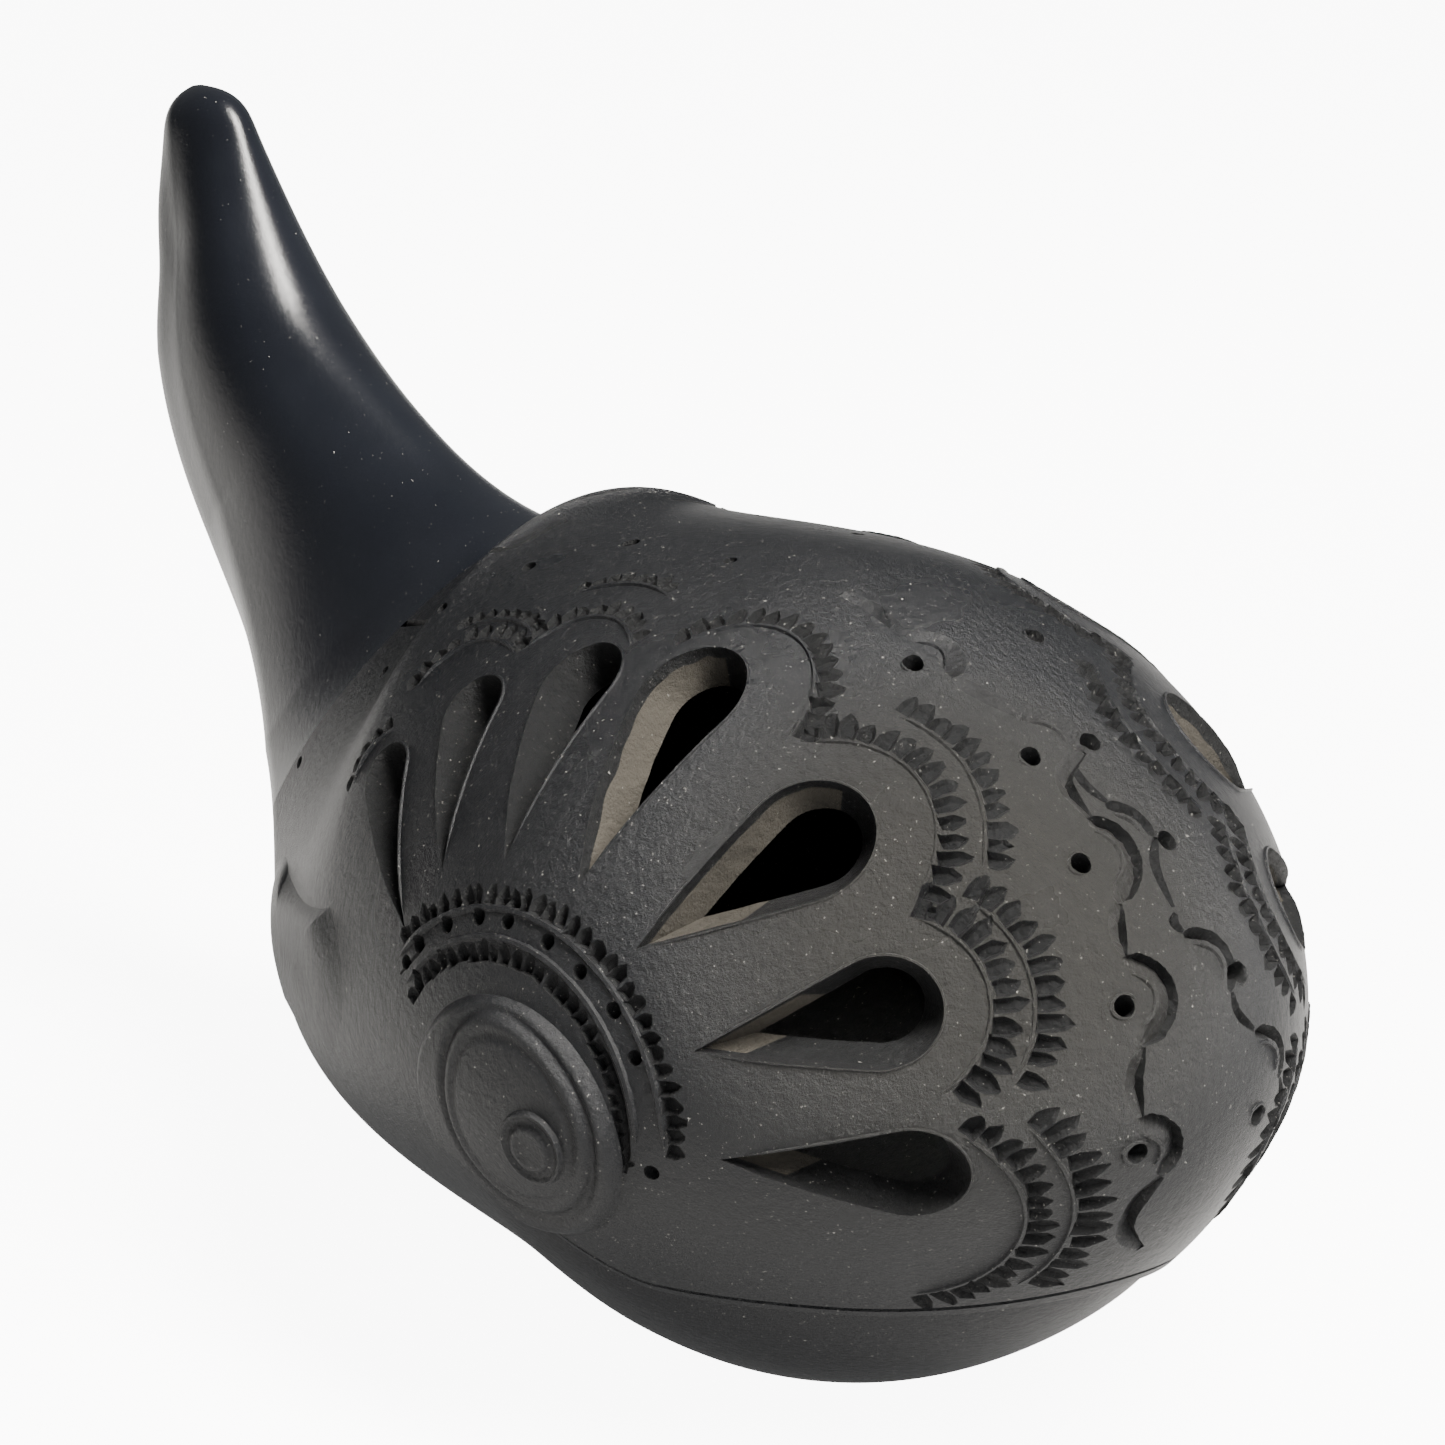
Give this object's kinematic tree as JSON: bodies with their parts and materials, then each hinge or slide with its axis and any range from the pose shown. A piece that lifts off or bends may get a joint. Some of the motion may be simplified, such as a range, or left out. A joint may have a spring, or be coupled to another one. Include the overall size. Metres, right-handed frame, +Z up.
{
  "type": "ceramic whale lantern",
  "caption": "Hollow carved black-clay whale figurine with a raised tail, teardrop light windows fanned round each eye, and an open flat base.",
  "frame": {"origin": "centre of the footprint of the whole figurine, on the resting plane", "axes": "+X out of the nose, +Y to the whale's left, +Z up"},
  "size_m": [0.1807, 0.104, 0.1142],
  "materials": {
    "carved_clay": "matte to satin, unglazed",
    "burnished_clay": "burnished, semi-gloss, unglazed"
  },
  "bodies": {
    "root": {"upper_shell": "carved_clay", "lower_shell": "burnished_clay", "tail": "burnished_clay", "flipper_right": "burnished_clay", "flipper_left": "burnished_clay", "eye_mound_right": "carved_clay", "eye_mound_left": "carved_clay", "pupil_right": "carved_clay", "pupil_left": "carved_clay"}
  },
  "joints": []
}
